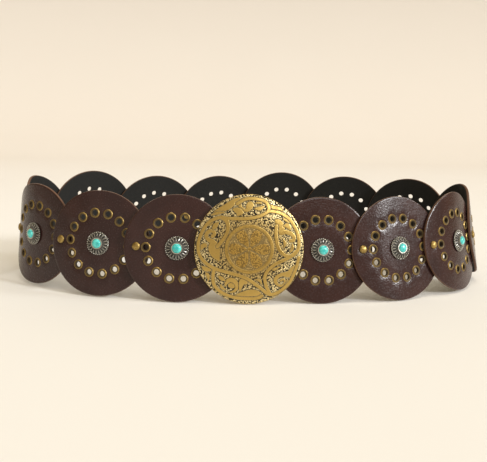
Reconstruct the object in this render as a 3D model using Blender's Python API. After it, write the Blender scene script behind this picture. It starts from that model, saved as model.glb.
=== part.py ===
"""A concho belt fastened into a closed loop and stood up on its lower edges.

Fourteen leather discs overlap like shingles, each pair held by one rivet, and a
round domed buckle closes the front. Sizes are in metres, +Z is up and the buckle
faces -Y. The eyelets' brass rings and the buckle's fine engraving are not here.
"""

import math

import bpy
import numpy as np
from mathutils import Matrix, Vector
from mathutils.geometry import delaunay_2d_cdt

# Leather discs.
DISC_D = 0.080
LEATHER_T = 0.0021
RIVET_INSET = 0.00910  # from a disc's edge in to its rivet
OUTLINE_SIDES = 24
BEND_STEP = math.radians(15)  # a disc on a corner is bent by this much per strip

# Eyelet holes, in a ring on every disc.
EYELET_COUNT = 14
EYELET_RING_D = 0.046
EYELET_BORE = 0.0041
BORE_SIDES = 6

# Rivets between neighbours.
RIVET_SHAFT_D = 0.0026
RIVET_CAP_D = 0.0063
RIVET_CAP_H = 0.0014

# Silver flower settings and their turquoise stones.
SETTING_D = 0.0176
SETTING_H = 0.0027
SETTING_SIDES = 10
CUP_WALL = 0.0004
PRONG_SIDE = 0.0018  # a square prong goes through the leather
PRONG_TIP = 0.0006  # how far it stands out behind
STONE_D = 0.0070
STONE_H = 0.0022
STONE_SIDES = 8

# Buckle.
BUCKLE_D = 0.0803
BUCKLE_T = 0.0018
BUCKLE_DOME = 0.0036
BUCKLE_SIDES = 24
BUCKLE_LIFT = 0.0006  # its lowest edge above the floor
BAND_W = 0.0026
RELIEF_H = 0.0005
RELIEF_SLOPE = 0.0003  # run of a relief wall, seen from the front
MEDALLION_D = 0.0350
PIN_D = 0.0022
HOOK_REACH = 0.0080
STUD_CAP_D = 0.0070
STUD_CAP_T = 0.0012

# Gaps between pieces.
LAYER_GAP = 0.0008  # between two overlapping discs
FIT_GAP = 0.0003  # between all other pieces that meet

# The loop seen from above: two half ovals, front and back, as shares of the half width.
FRONT_DEPTH_SHARE = 0.505
BACK_DEPTH_SHARE = 0.443
FRONT_ROUNDNESS = 2.20  # exponent of the oval: 2 is an ellipse, more is squarer
BACK_ROUNDNESS = 1.90
LOOP_SHIFT = -0.0066  # the buckle's centre along the loop from its middle
BUCKLE_TO_FIRST = 0.0546
LAST_TO_BUCKLE = 0.0525
BUCKLE_LEAN = 9.0

# Each disc from the buckle's right round to its left: how far its eyelet ring is
# turned (degrees), how high its lowest edge is held off the floor (a share of the
# disc's diameter), how far its top leans in (degrees) and how far along the belt it is
# set from its even place (a share of the diameter).
DISC_COLUMNS = ("turn", "lift", "lean", "shift")
DISC_ROWS = (
    (0.7, 0.0, 11.4, 0.0),
    (-0.3, 0.0, 12.0, 0.0),
    (-1.9, 0.014, 10.5, 0.0),
    (3.0, 0.04, 9.2, 0.0),
    (8.1, 0.036, 7.2, 0.0),
    (-5.4, 0.026, 6.2, 0.0),
    (-0.5, 0.054, 6.0, 0.0),
    (6.5, 0.0, 6.8, 0.0),
    (-8.3, 0.0, 7.4, 0.0),
    (-6.3, 0.068, 7.0, 0.0),
    (-4.0, 0.045, 6.0, 0.0),
    (0.5, 0.025, 3.6, 0.0),
    (3.5, 0.008, 6.4, 0.020),
    (0.0, 0.0, 8.3, 0.0),
)

# The buckle's lobes: direction of the middle and half spread in degrees, then the
# inner and outer edge as shares of the buckle's radius.
LOBE_COLUMNS = ("angle", "spread", "inner", "outer")
LOBE_ROWS = (
    (22.0, 33.0, 0.50, 0.955),
    (84.0, 25.0, 0.56, 0.965),
    (169.0, 34.0, 0.50, 0.960),
    (-110.0, 33.0, 0.50, 0.945),
    (-44.0, 27.0, 0.48, 0.945),
)
LOBE_SIDES = 10
# One long leaf fills the gap between the second and the third lobe.
LEAF_ANGLE = 125.0
LEAF_SPREAD = 12.0
LEAF_RADIUS_SHARE = 0.86
LEAF_W = 0.0052

# Colours as linear RGB, with roughness and metallic.
LEATHER_LOOK = ((0.052, 0.028, 0.024), 0.55, 0.0)
BRASS_LOOK = ((0.42, 0.25, 0.075), 0.38, 1.0)
GOLD_LOOK = ((0.55, 0.34, 0.09), 0.35, 1.0)
SILVER_LOOK = ((0.35, 0.33, 0.30), 0.42, 1.0)
TURQUOISE_LOOK = ((0.045, 0.56, 0.50), 0.30, 0.0)

DISC_R = DISC_D / 2
DISC_LOW = DISC_R * math.cos(math.pi / OUTLINE_SIDES)  # the outline rests on a facet
PITCH = DISC_D - 2 * RIVET_INSET
LOOP_LENGTH = BUCKLE_TO_FIRST + (len(DISC_ROWS) - 1) * PITCH + LAST_TO_BUCKLE
RAISE = LEATHER_T + LAYER_GAP  # how far a disc's left side stands over its neighbour
BLEND = PITCH - DISC_R  # where the overlaps start, either side of a disc's centre
CURVE_STEPS = 2880
PROBE = DISC_D / 40  # step used to measure directions along the loop
WELD = DISC_D / 80000  # points of a pattern closer than this are one


def clear_scene():
    for old in list(bpy.data.objects):
        bpy.data.objects.remove(old, do_unlink=True)


def material(name, look):
    colour, roughness, metallic = look
    made = bpy.data.materials.new(name)
    made.use_nodes = True
    shader = made.node_tree.nodes["Principled BSDF"]
    shader.inputs["Base Color"].default_value = (*colour, 1.0)
    shader.inputs["Roughness"].default_value = roughness
    shader.inputs["Metallic"].default_value = metallic
    made.diffuse_color = (*colour, 1.0)
    return made


def make_object(name, points, faces, look, frame, smooth=True):
    """An object from points given in its own frame."""
    mesh = bpy.data.meshes.new(name)
    mesh.from_pydata([tuple(p) for p in points], [], faces)
    mesh.validate()
    mesh.materials.append(look)
    made = bpy.data.objects.new(name, mesh)
    made.matrix_world = frame
    bpy.context.scene.collection.objects.link(made)
    if smooth:
        mesh.shade_smooth()
        mesh.set_sharp_from_angle(angle=math.radians(32))
    return made


# The plan curve and the leaning wall that all leather follows.


def plan_curve():
    """Arc lengths and points of the loop, from the middle of the front towards +X."""
    turn = np.linspace(-math.pi / 2, 3 * math.pi / 2, CURVE_STEPS + 1)
    c, s = np.cos(turn), np.sin(turn)
    power = 2 / np.where(s < 0, FRONT_ROUNDNESS, BACK_ROUNDNESS)
    depth = np.where(s < 0, FRONT_DEPTH_SHARE, BACK_DEPTH_SHARE)
    x = np.sign(c) * np.abs(c) ** power
    y = depth * np.sign(s) * np.abs(s) ** power
    steps = np.hypot(np.diff(x), np.diff(y))
    along = np.concatenate([[0.0], np.cumsum(steps)])
    scale = LOOP_LENGTH / along[-1]
    return along * scale, x * scale, y * scale


ALONG, CURVE_X, CURVE_Y = plan_curve()


def plan_point(s):
    s = (s + LOOP_SHIFT) % LOOP_LENGTH
    x = float(np.interp(s, ALONG, CURVE_X))
    y = float(np.interp(s, ALONG, CURVE_Y))
    return Vector((x, y, 0.0))


def disc_place(index):
    """Where along the loop a disc's centre is, from the buckle's centre."""
    shift = DISC_ROWS[index][DISC_COLUMNS.index("shift")] * DISC_D
    return BUCKLE_TO_FIRST + index * PITCH + shift


LEAN_AT = [0.0] + [disc_place(i) for i in range(len(DISC_ROWS))] + [LOOP_LENGTH]
LEANS = [BUCKLE_LEAN] + [row[DISC_COLUMNS.index("lean")] for row in DISC_ROWS]
LEANS.append(BUCKLE_LEAN)


def lean_at(s):
    return math.radians(float(np.interp(s % LOOP_LENGTH, LEAN_AT, LEANS)))


def wall_point(s, v, off):
    """A point of the leaning wall: s along it, v up it from mid height, off outwards."""
    tangent = (plan_point(s + PROBE) - plan_point(s - PROBE)).normalized()
    outward = Vector((tangent.y, -tangent.x, 0.0))
    lean = lean_at(s)
    up = Vector((0.0, 0.0, 1.0))
    normal = outward * math.cos(lean) + up * math.sin(lean)
    slant = up * math.cos(lean) - outward * math.sin(lean)
    return plan_point(s) + up * DISC_R + slant * v + normal * off


def frame_of(point_at, u, h):
    """A frame on a surface: X along the belt, Y up it, Z outwards."""
    reach = PROBE / 2
    along = (point_at(u + reach, h) - point_at(u - reach, h)).normalized()
    upward = point_at(u, h + reach) - point_at(u, h - reach)
    outward = along.cross(upward).normalized()
    upward = outward.cross(along)
    axes = Matrix((along, upward, outward)).transposed().to_4x4()
    return Matrix.Translation(point_at(u, h)) @ axes


def disc_raise(index, u):
    """How far a disc's inner face stands off the wall: over its neighbour on the left."""
    if index == 0:
        return 0.0
    share = min(max((BLEND - u) / (2 * BLEND), 0.0), 1.0)
    return RAISE * share * share * (3 - 2 * share)


def disc_height(index):
    """A disc's centre up the wall, so that its lowest edge has the table's lift."""
    row = dict(zip(DISC_COLUMNS, DISC_ROWS[index]))
    clear = DISC_R - row["lift"] * DISC_D
    return DISC_LOW - clear / math.cos(math.radians(row["lean"]))


def disc_point(index, u, h, off):
    place = disc_place(index) + u
    return wall_point(place, disc_height(index) + h, disc_raise(index, u) + off)


# Flat patterns: polygons, and the triangles between them.


def circle(centre, radius, sides, start=0.0):
    """Points round a circle, anticlockwise."""
    turns = [start + 2 * math.pi * k / sides for k in range(sides)]
    return [
        Vector((centre[0] + radius * math.cos(t), centre[1] + radius * math.sin(t)))
        for t in turns
    ]


def inside(point, polygon):
    hit = False
    for a, b in zip(polygon, polygon[1:] + polygon[:1]):
        if (a.y > point.y) != (b.y > point.y):
            if point.x < (b.x - a.x) * (point.y - a.y) / (b.y - a.y) + a.x:
                hit = not hit
    return hit


def pattern(outline, holes, inner_loops=(), cuts=(), dots=()):
    """A flat plate with holes, split along the other lines.

    Gives its points, its triangles and, for each loop, the numbers of its points.
    """
    points = []
    edges = []
    loops = []
    for loop in (outline, *holes, *inner_loops):
        first = len(points)
        points += loop
        edges += [(first + k, first + (k + 1) % len(loop)) for k in range(len(loop))]
        loops.append(range(first, first + len(loop)))
    for start, end in cuts:
        edges.append((len(points), len(points) + 1))
        points += [start, end]
    points += dots
    found, _, faces, origins, *_ = delaunay_2d_cdt(points, edges, [], 0, WELD)
    kept = []
    for face in faces:
        middle = sum((found[k] for k in face), Vector((0.0, 0.0))) / 3
        if inside(middle, outline) and not any(inside(middle, h) for h in holes):
            kept.append(tuple(face))
    used = sorted({k for face in kept for k in face})
    number = {old: new for new, old in enumerate(used)}
    came_to = {start: number[k] for k in used for start in origins[k]}
    flat = [found[k] for k in used]
    faces = [tuple(number[k] for k in face) for face in kept]
    return flat, faces, [[came_to[start] for start in loop] for loop in loops]


def open_edges(faces):
    """The edges with one face, each in the order that its face has them."""
    pairs = {(f[k], f[(k + 1) % len(f)]) for f in faces for k in range(len(f))}
    return [pair for pair in pairs if (pair[1], pair[0]) not in pairs]


def thickened(faces, count):
    """Faces of a plate: the given ones in front, a copy behind and walls between."""
    back = [tuple(count + k for k in reversed(face)) for face in faces]
    edges = sorted(open_edges(faces))
    walls = [(b, a, count + a, count + b) for a, b in edges]
    return faces + back + walls


def turned_solid(levels, sides, start=0.0):
    """Points and faces of rings of (radius, height) joined in order and capped."""
    points = []
    for radius, height in levels:
        ring = circle((0.0, 0.0), radius, sides, start)
        points += [Vector((p.x, p.y, height)) for p in ring]
    faces = [tuple(reversed(range(sides)))]
    for level in range(len(levels) - 1):
        low, high = level * sides, (level + 1) * sides
        for k in range(sides):
            after = (k + 1) % sides
            faces.append((low + k, low + after, high + after, high + k))
    last = (len(levels) - 1) * sides
    faces.append(tuple(last + k for k in range(sides)))
    return points, faces


# Leather discs.


def eyelet_places(index):
    """Centres of a disc's eyelets, the first at the left, then up and over."""
    turn = math.radians(DISC_ROWS[index][DISC_COLUMNS.index("turn")])
    places = []
    for k in range(EYELET_COUNT):
        angle = turn + 2 * math.pi * k / EYELET_COUNT
        reach = EYELET_RING_D / 2
        places.append((-reach * math.cos(angle), reach * math.sin(angle)))
    return places


def rivet_places(index):
    """Where a disc's rivets are, as (u, h) on the disc: none on the buckle's side."""
    places = []
    for other in (index - 1, index + 1):
        if 0 <= other < len(DISC_ROWS):
            along = (disc_place(other) - disc_place(index)) / 2
            middle = (disc_height(other) - disc_height(index)) / 2
            places.append((along, middle))
    return places


def bend_of(index):
    """How far the loop turns over the width of a disc, in radians."""
    ends = []
    for side in (-1, 1):
        edge = disc_place(index) + side * DISC_R
        ends.append(plan_point(edge + PROBE) - plan_point(edge - PROBE))
    return ends[0].angle(ends[1])


def make_disc(index, look):
    outline = circle((0.0, 0.0), DISC_R, OUTLINE_SIDES, math.pi / OUTLINE_SIDES)
    holes = []
    for place in eyelet_places(index):
        holes.append(circle(place, EYELET_BORE / 2, BORE_SIDES, math.pi / 6))
    for place in rivet_places(index):
        bore = RIVET_SHAFT_D / 2 + 2 * FIT_GAP
        holes.append(circle(place, bore, BORE_SIDES, math.pi / 6))
    slot = PRONG_SIDE / 2 + FIT_GAP
    holes.append(circle((0.0, 0.0), slot * math.sqrt(2), 4, math.pi / 4))
    # Bends where the loop turns a corner: the flatter discs have none.
    count = max(int(bend_of(index) / BEND_STEP) - 1, 0)
    cuts = []
    for k in range(count):
        u = DISC_R * (2 * (k + 0.5) / count - 1)
        half = math.sqrt(DISC_R**2 - u * u) + PROBE
        cuts.append((Vector((u, -half)), Vector((u, half))))
    flat, faces, _ = pattern(outline, holes, cuts=cuts)
    frame = frame_of(lambda u, h: disc_point(index, u, h, 0.0), 0.0, 0.0)
    back = frame.inverted()
    points = [back @ disc_point(index, p.x, p.y, LEATHER_T) for p in flat]
    points += [back @ disc_point(index, p.x, p.y, 0.0) for p in flat]
    faces = thickened(faces, len(flat))
    make_object(f"disc_{index + 1:02d}", points, faces, look, frame)


# Rivets, settings and stones.


def make_rivet(index, look):
    """The rivet between a disc and the next: a shaft with a cap at both ends."""
    stack = 2 * LEATHER_T + LAYER_GAP
    shaft = RIVET_SHAFT_D / 2
    cap = RIVET_CAP_D / 2
    low, high = -FIT_GAP, stack + FIT_GAP
    levels = [
        (cap * 0.7, low - RIVET_CAP_H * 0.7),
        (cap, low),
        (shaft, low),
        (shaft, high),
        (cap, high),
        (cap * 0.6, high + RIVET_CAP_H),
    ]
    height = (disc_height(index) + disc_height(index + 1)) / 2
    place = (disc_place(index) + disc_place(index + 1)) / 2
    frame = frame_of(lambda u, h: wall_point(u, h, 0.0), place, height)
    points, faces = turned_solid(levels, BORE_SIDES, math.pi / 6)
    make_object(f"rivet_{index + 1:02d}", points, faces, look, frame)


def make_setting(index, look):
    """A flower plate with a raised cup for the stone and one prong behind."""
    radius = SETTING_D / 2
    cup = STONE_D / 2 + FIT_GAP
    profile = [
        (radius * 0.96, 0.0),
        (radius, SETTING_H * 0.35),
        (cup + CUP_WALL, SETTING_H * 0.85),
        (cup + CUP_WALL * 0.8, SETTING_H * 1.35),
        (cup, SETTING_H),
    ]
    points, faces = turned_solid(profile, SETTING_SIDES)
    # The back face makes way for the square prong.
    rim = list(reversed(faces.pop(0)))
    slot = circle((0.0, 0.0), PRONG_SIDE / math.sqrt(2), 4, math.pi / 4)
    flat, back, loops = pattern([points[k].to_2d() for k in rim], [slot])
    number = dict(zip(loops[0], rim))
    for k in loops[1]:
        number[k] = len(points)
        points.append(Vector((flat[k].x, flat[k].y, 0.0)))
    faces += [tuple(number[k] for k in reversed(face)) for face in back]
    base = [number[k] for k in loops[1]]
    tip = -(FIT_GAP + LEATHER_T + PRONG_TIP)
    first = len(points)
    points += [Vector((p.x, p.y, tip)) for p in slot]
    for k in range(4):
        after = (k + 1) % 4
        faces.append((base[after], base[k], first + k, first + after))
    faces.append(tuple(first + k for k in reversed(range(4))))
    off = LEATHER_T + FIT_GAP
    frame = frame_of(lambda u, h: disc_point(index, u, h, off), 0.0, 0.0)
    make_object(f"setting_{index + 1:02d}", points, faces, look, frame)


def make_stone(index, look):
    """A low cabochon sitting in its cup."""
    radius = STONE_D / 2
    levels = [
        (radius * 0.98, 0.0),
        (radius, STONE_H * 0.35),
        (radius * 0.62, STONE_H),
    ]
    off = LEATHER_T + FIT_GAP + SETTING_H + FIT_GAP
    frame = frame_of(lambda u, h: disc_point(index, u, h, off), 0.0, 0.0)
    points, faces = turned_solid(levels, STONE_SIDES)
    make_object(f"stone_{index + 1:02d}", points, faces, look, frame)


# Buckle.


def dome(p):
    """Height of the buckle's front over its rim."""
    share = min(p.length / (BUCKLE_D / 2), 1.0)
    return BUCKLE_DOME * (1 - share**2.4)


def lobe_loop(row, inset, sides):
    """The outline of a lobe, a rounded patch that follows the rim, set in by inset."""
    radius = BUCKLE_D / 2
    inner = row["inner"] * radius
    outer = row["outer"] * radius
    middle = (inner + outer) / 2
    half = (outer - inner) / 2 - inset
    spread = math.radians(row["spread"]) - inset / middle
    loop = []
    for k in range(sides):
        t = 2 * math.pi * (k + 0.5) / sides
        c, s = math.cos(t), math.sin(t)
        across = math.copysign(abs(c) ** 0.8, c)
        along = math.copysign(abs(s) ** 0.8, s)
        angle = math.radians(row["angle"]) + spread * along
        reach = middle + half * across
        loop.append(Vector((reach * math.cos(angle), reach * math.sin(angle))))
    return loop


def leaf_loop(angle, spread, middle, half, inset, sides=6):
    """A pointed leaf that follows the rim."""
    loop = []
    spread = spread - inset / middle
    for k in range(sides):
        t = 2 * math.pi * k / sides
        reach = middle + (half - inset) * math.sin(t) * (1 + 0.35 * math.cos(t))
        turn = angle + spread * math.cos(t)
        loop.append(Vector((reach * math.cos(turn), reach * math.sin(turn))))
    return loop


def relief_loops():
    """Foot and crest outlines of the raised bands and leaves."""
    radius = BUCKLE_D / 2
    feet = []
    crests = []
    ring = MEDALLION_D / 2
    feet.append(circle((0.0, 0.0), ring, 18))
    crests.append(circle((0.0, 0.0), ring - RELIEF_SLOPE, 18))
    crests.append(circle((0.0, 0.0), ring - BAND_W + RELIEF_SLOPE, 18))
    feet.append(circle((0.0, 0.0), ring - BAND_W, 18))
    for values in LOBE_ROWS:
        row = dict(zip(LOBE_COLUMNS, values))
        feet.append(lobe_loop(row, 0.0, LOBE_SIDES))
        crests.append(lobe_loop(row, RELIEF_SLOPE, LOBE_SIDES))
        crests.append(lobe_loop(row, BAND_W - RELIEF_SLOPE, LOBE_SIDES))
        feet.append(lobe_loop(row, BAND_W, LOBE_SIDES))
        # A leaf inside the lobe.
        angle = math.radians(row["angle"])
        middle = (row["inner"] + row["outer"]) / 2 * radius
        spread = math.radians(row["spread"]) * 0.5
        half = (row["outer"] - row["inner"]) / 2 * radius * 0.42
        feet.append(leaf_loop(angle, spread, middle, half, 0.0))
        crests.append(leaf_loop(angle, spread, middle, half, RELIEF_SLOPE))
    angle = math.radians(LEAF_ANGLE)
    spread = math.radians(LEAF_SPREAD)
    middle = LEAF_RADIUS_SHARE * radius
    feet.append(leaf_loop(angle, spread, middle, LEAF_W / 2, 0.0))
    crests.append(leaf_loop(angle, spread, middle, LEAF_W / 2, RELIEF_SLOPE))
    return feet, crests


def buckle_frame():
    """The buckle's back rim lies in this frame's XY plane."""
    off = LEATHER_T + LAYER_GAP + FIT_GAP
    lean = math.radians(BUCKLE_LEAN)
    low = DISC_R + off * math.sin(lean) - BUCKLE_D / 2 * math.cos(lean)
    height = (BUCKLE_LIFT - low) / math.cos(lean)
    return frame_of(lambda u, h: wall_point(u, h, off), 0.0, height)


def pin_place(index, eyelet, frame):
    """An eyelet's centre seen from the buckle, with the leather's inner face behind it."""
    u, h = eyelet_places(index)[eyelet]
    return frame.inverted() @ disc_point(index, u, h, 0.0)


def make_buckle(look, cap_look):
    frame = buckle_frame()
    radius = BUCKLE_D / 2
    outline = circle((0.0, 0.0), radius, BUCKLE_SIDES)
    feet, crests = relief_loops()
    middle = [Vector((0.0, 0.0))] + circle((0.0, 0.0), MEDALLION_D * 0.22, 6)
    flat, front, loops = pattern(outline, [], feet + crests, dots=middle)
    front_rim = loops[0]
    raised = {k for loop in loops[1 + len(feet) :] for k in loop}
    points = []
    for k, p in enumerate(flat):
        height = BUCKLE_T + dome(p) + (RELIEF_H if k in raised else 0.0)
        points.append(Vector((p.x, p.y, height)))
    # The hollow back, with the roots of the hook on the left and the stud on the right.
    last = len(DISC_ROWS) - 1
    hook = pin_place(last, EYELET_COUNT // 2, frame)
    stud = pin_place(0, 0, frame)
    roots = [circle(place, PIN_D / 2, BORE_SIDES) for place in (hook, stud)]
    dots = [Vector((0.0, 0.0))]
    for share, count in ((0.45, 10), (0.78, 16)):
        dots += circle((0.0, 0.0), radius * share, count)
    clear = [
        p for p in dots if min((p - pin.to_2d()).length for pin in (hook, stud)) > PIN_D
    ]
    flat, back, loops = pattern(outline, roots, dots=clear)
    first = len(points)
    back_rim = loops[0]
    for k, p in enumerate(flat):
        points.append(Vector((p.x, p.y, 0.0 if k in back_rim else dome(p))))
    faces = front + [tuple(first + k for k in reversed(face)) for face in back]
    for k in range(BUCKLE_SIDES):
        a, b = front_rim[k], front_rim[(k + 1) % BUCKLE_SIDES]
        c, d = first + back_rim[(k + 1) % BUCKLE_SIDES], first + back_rim[k]
        faces.append((b, a, d, c))
    # Each pin grows from its root: straight down for the stud, bent for the hook.
    ends = {}
    for name, place, root in (("hook", hook, loops[1]), ("stud", stud, loops[2])):
        ring = [first + k for k in root]
        depth = place.z - FIT_GAP - PIN_D * 0.6
        centres = [(Vector((place.x, place.y, depth - PIN_D * 0.5)), Vector((0, 0, -1)))]
        if name == "hook":
            bend = Vector((place.x, place.y, depth - PIN_D * 0.5))
            centres = [
                (bend, Vector((0.0, -0.7, -0.7))),
                (bend + Vector((0.0, -HOOK_REACH, -PIN_D * 0.3)), Vector((0.0, -1.0, 0.0))),
            ]
        for centre, direction in centres:
            side = Vector((1.0, 0.0, 0.0))
            other = direction.normalized().cross(side)
            fresh = len(points)
            for k in range(BORE_SIDES):
                t = 2 * math.pi * k / BORE_SIDES
                arm = side * math.cos(t) - other * math.sin(t)
                points.append(centre + arm * (PIN_D / 2))
            after = [fresh + k for k in range(BORE_SIDES)]
            for k in range(BORE_SIDES):
                j = (k + 1) % BORE_SIDES
                faces.append((ring[j], ring[k], after[k], after[j]))
            ring = after
        faces.append(tuple(reversed(ring)))
        ends[name] = centres[-1][0]
    make_object("buckle", points, faces, look, frame)
    # A cap screwed on the stud behind the leather.
    top = ends["stud"] - Vector((0.0, 0.0, FIT_GAP))
    levels = [
        (STUD_CAP_D / 2 * 0.92, -STUD_CAP_T),
        (STUD_CAP_D / 2, -STUD_CAP_T * 0.7),
        (STUD_CAP_D / 2, 0.0),
    ]
    cap_points, cap_faces = turned_solid(levels, STONE_SIDES)
    cap_frame = frame @ Matrix.Translation(top)
    make_object("stud_cap", cap_points, cap_faces, cap_look, cap_frame)


def centre_on_floor():
    """Moves all by one parent, so that the origin is under the middle, on the floor."""
    bpy.context.view_layer.update()
    made = [obj for obj in bpy.context.scene.objects if obj.type == "MESH"]
    corners = [obj.matrix_world @ v.co for obj in made for v in obj.data.vertices]
    low = Vector([min(c[axis] for c in corners) for axis in range(3)])
    high = Vector([max(c[axis] for c in corners) for axis in range(3)])
    root = bpy.data.objects.new("belt", None)
    bpy.context.scene.collection.objects.link(root)
    for obj in made:
        obj.parent = root
    root.location = (-(low.x + high.x) / 2, -(low.y + high.y) / 2, -low.z)
    bpy.context.view_layer.update()


def main():
    clear_scene()
    leather = material("leather", LEATHER_LOOK)
    brass = material("brass", BRASS_LOOK)
    gold = material("antique_gold", GOLD_LOOK)
    silver = material("antique_silver", SILVER_LOOK)
    turquoise = material("turquoise", TURQUOISE_LOOK)
    for index in range(len(DISC_ROWS)):
        make_disc(index, leather)
        make_setting(index, silver)
        make_stone(index, turquoise)
    for index in range(len(DISC_ROWS) - 1):
        make_rivet(index, brass)
    make_buckle(gold, brass)
    centre_on_floor()


main()
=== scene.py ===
import math

import bpy
import numpy as np
from mathutils import Matrix, Vector
from mathutils.geometry import delaunay_2d_cdt


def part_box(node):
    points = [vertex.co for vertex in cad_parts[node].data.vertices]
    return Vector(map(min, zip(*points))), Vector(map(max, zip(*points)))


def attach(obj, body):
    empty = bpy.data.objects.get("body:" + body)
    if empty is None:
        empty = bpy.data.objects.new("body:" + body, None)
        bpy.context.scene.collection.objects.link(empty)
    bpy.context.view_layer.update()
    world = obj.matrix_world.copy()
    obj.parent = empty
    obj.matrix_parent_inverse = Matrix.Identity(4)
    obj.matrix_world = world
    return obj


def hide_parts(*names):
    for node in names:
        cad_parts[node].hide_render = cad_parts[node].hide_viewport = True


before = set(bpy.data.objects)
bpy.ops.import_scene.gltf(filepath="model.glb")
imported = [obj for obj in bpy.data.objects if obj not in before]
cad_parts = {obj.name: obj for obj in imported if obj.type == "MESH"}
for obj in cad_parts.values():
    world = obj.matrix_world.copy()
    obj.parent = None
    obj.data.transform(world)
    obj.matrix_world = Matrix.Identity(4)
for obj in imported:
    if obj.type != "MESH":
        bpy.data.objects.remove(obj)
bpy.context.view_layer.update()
print("frame loaded:", len(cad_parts), "solids")

# The line that the belt follows, the same as in the part: metres and degrees.
loop = {
    "origin": (-0.0014742, 0.0073824, 0.0000320),
    "frontDepthShare": 0.505,
    "backDepthShare": 0.443,
    "frontRoundness": 2.20,
    "backRoundness": 1.90,
    "shift": -0.0066,
    "buckleToFirst": 0.0546,
    "lastToBuckle": 0.0525,
    "buckleLean": 9.0,
    "curveSteps": 2880,
    "probe": 0.002,  # step that measures directions
}

leather = {
    "diameter": 0.080,
    "thickness": 0.0021,
    "layerGap": 0.0008,
    "rivetInset": 0.00910,
    "partSides": 24,  # the part's outline, which rests on a facet
    "rimSides": 132,
    "edgeRound": 0.00045,
    # The cut edge from front to back: share of its round, share of the thickness,
    # how far it looks like the outer face, and how far like the bare cut.
    "edgeSteps": (
        (0.3, 0.92, 1.0, 0.75), (0.0, 0.70, 1.0, 1.0), (0.0, 0.30, 0.0, 1.0),
        (0.3, 0.08, 0.0, 0.75),
    ),
    "eyeletCount": 14,
    "eyeletRing": 0.046,
    "eyeletHole": 0.0049,
    "rivetHole": 0.0030,
    "prongHole": 0.0028,
    "eyeletSides": 14,
    "holeSides": 12,
    "dent": 0.00022,  # how deep an eyelet or rivet sits in the face
    "eyeletDent": 0.0035,  # radius of the pressed place
    "rivetDent": 0.0032,
    "dentSlope": 0.0016,
    "dentRings": (0.0, 0.0007, 0.0014),  # rings of points round a dent
    "grid": 0.0036,
    "gridClear": 0.0061,  # between the grid's points and an eyelet's centre
    "gridMargin": 0.0026,  # between the grid's points and the rim
    # Each disc from the buckle's right round to its left: turn of its eyelets,
    # how high its lowest edge is held (share of the diameter), its lean, and how
    # far along the belt it is set from its even place (share of the diameter).
    "discs": (
        (0.7, 0.0, 11.4, 0.0), (-0.3, 0.0, 12.0, 0.0), (-1.9, 0.014, 10.5, 0.0),
        (3.0, 0.04, 9.2, 0.0), (8.1, 0.036, 7.2, 0.0), (-5.4, 0.026, 6.2, 0.0),
        (-0.5, 0.054, 6.0, 0.0), (6.5, 0.0, 6.8, 0.0), (-8.3, 0.0, 7.4, 0.0),
        (-6.3, 0.068, 7.0, 0.0), (-4.0, 0.045, 6.0, 0.0), (0.5, 0.025, 3.6, 0.0),
        (3.5, 0.008, 6.4, 0.020), (0.0, 0.0, 8.3, 0.0),
    ),
}

discCount = len(leather["discs"])
discRadius = leather["diameter"] / 2
restRadius = discRadius * math.cos(math.pi / leather["partSides"])
flatRadius = restRadius - leather["edgeRound"]
thickness = leather["thickness"]
pitch = leather["diameter"] - 2 * leather["rivetInset"]
loopLength = loop["buckleToFirst"] + (discCount - 1) * pitch + loop["lastToBuckle"]


def planCurve():
    turn = np.linspace(-math.pi / 2, 3 * math.pi / 2, loop["curveSteps"] + 1)
    c, s = np.cos(turn), np.sin(turn)
    power = 2 / np.where(s < 0, loop["frontRoundness"], loop["backRoundness"])
    depth = np.where(s < 0, loop["frontDepthShare"], loop["backDepthShare"])
    x = np.sign(c) * np.abs(c) ** power
    y = depth * np.sign(s) * np.abs(s) ** power
    along = np.concatenate([[0.0], np.cumsum(np.hypot(np.diff(x), np.diff(y)))])
    scale = loopLength / along[-1]
    return along * scale, x * scale, y * scale


curveAlong, curveX, curveY = planCurve()
discShifts = np.array([row[3] for row in leather["discs"]]) * leather["diameter"]
discPlaces = loop["buckleToFirst"] + pitch * np.arange(discCount) + discShifts
leanAt = np.concatenate([[0.0], discPlaces, [loopLength]])
discLeans = [row[2] for row in leather["discs"]]
leans = np.radians([loop["buckleLean"], *discLeans, loop["buckleLean"]])


def ease(share):
    share = np.clip(share, 0.0, 1.0)
    return share * share * (3 - 2 * share)


def planPoints(s):
    s = (s + loop["shift"]) % loopLength
    return np.stack([np.interp(s, curveAlong, curve) for curve in (curveX, curveY)], axis=-1)


def wallPoints(s, v, off):
    # Points of the leaning wall: s along it, v up it, off outwards.
    s, v, off = np.broadcast_arrays(*(np.asarray(x, float) for x in (s, v, off)))
    step = planPoints(s + loop["probe"]) - planPoints(s - loop["probe"])
    step /= np.linalg.norm(step, axis=-1, keepdims=True)
    lean = np.interp(s % loopLength, leanAt, leans)
    side = off * np.cos(lean) - v * np.sin(lean)
    height = discRadius + v * np.cos(lean) + off * np.sin(lean)
    flat = planPoints(s)
    x = flat[..., 0] + step[..., 1] * side
    y = flat[..., 1] - step[..., 0] * side
    return np.stack([x, y, height], axis=-1) + np.array(loop["origin"])


def frameOf(pointAt, u, h):
    # X along the belt, Y up it and Z outwards, at a point of a surface.
    reach = loop["probe"] / 2
    along = Vector(pointAt(u + reach, h) - pointAt(u - reach, h)).normalized()
    upward = Vector(pointAt(u, h + reach) - pointAt(u, h - reach))
    outward = along.cross(upward).normalized()
    axes = Matrix((along, outward.cross(along), outward)).transposed().to_4x4()
    return Matrix.Translation(Vector(pointAt(u, h))) @ axes


def discHeight(index):
    _, lift, lean, _ = leather["discs"][index]
    clear = discRadius - lift * leather["diameter"]
    return restRadius - clear / math.cos(math.radians(lean))


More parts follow.
